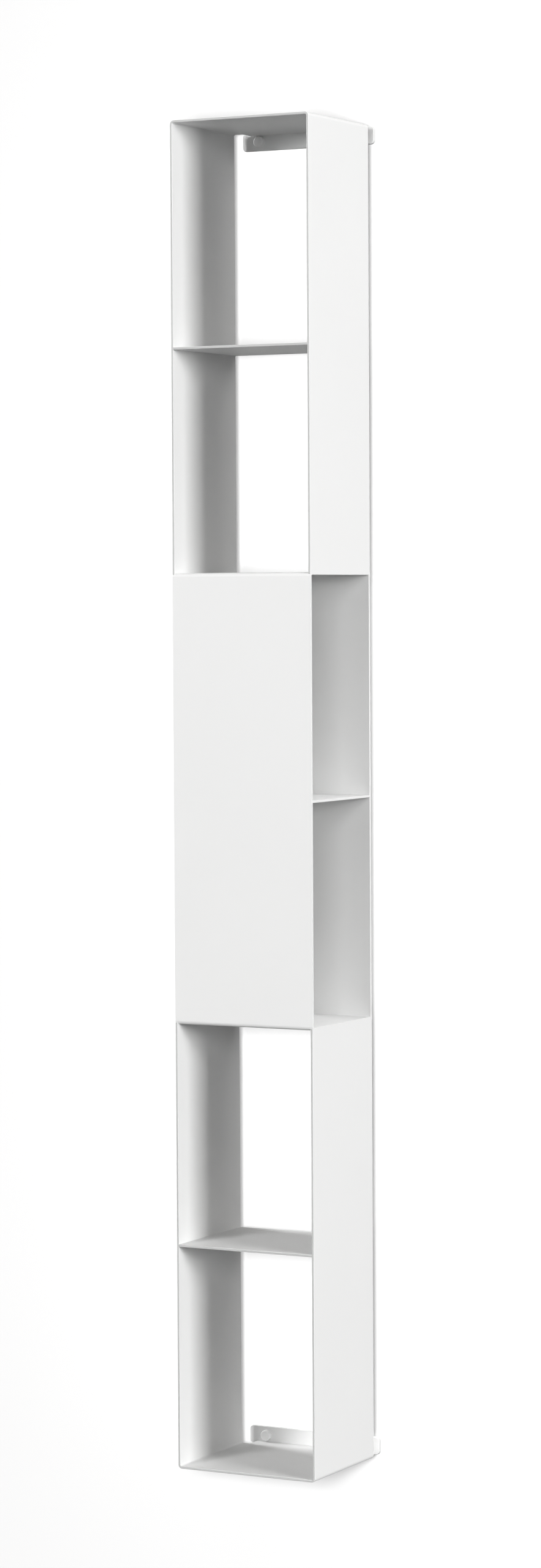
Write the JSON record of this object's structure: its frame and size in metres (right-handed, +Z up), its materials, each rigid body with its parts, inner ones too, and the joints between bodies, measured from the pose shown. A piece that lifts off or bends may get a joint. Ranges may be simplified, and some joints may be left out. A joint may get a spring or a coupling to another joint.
{
  "type": "spine bookshelf",
  "caption": "Tall, narrow wall-hung bookshelf of folded white sheet steel: end blocks open front and back, middle block turned a quarter and open at the sides, on screwed wall bars.",
  "frame": {"origin": "on the wall's plane, in the middle of the four wall screws", "axes": "+X to the right as seen from the front, +Y into the wall, +Z up; the front faces -Y"},
  "size_m": [0.19, 0.241, 1.653],
  "materials": {
    "powder_coat": "satin white powder coat",
    "screw_steel": "zinc-plated",
    "cap_plastic": "moulded white"
  },
  "bodies": {
    "root": {"upper_shell": "powder_coat", "upper_shelf": "powder_coat", "middle_shell": "powder_coat", "middle_back_panel": "powder_coat", "middle_shelf": "powder_coat", "lower_shell": "powder_coat", "lower_shelf": "powder_coat", "upper_wall_bar": "powder_coat", "lower_wall_bar": "powder_coat", "wall_screw_upper_left": "screw_steel", "wall_screw_upper_right": "screw_steel", "wall_screw_lower_left": "screw_steel", "wall_screw_lower_right": "screw_steel", "screw_cap_upper_left": "cap_plastic", "screw_cap_upper_right": "cap_plastic", "screw_cap_lower_left": "cap_plastic", "screw_cap_lower_right": "cap_plastic"}
  },
  "joints": []
}
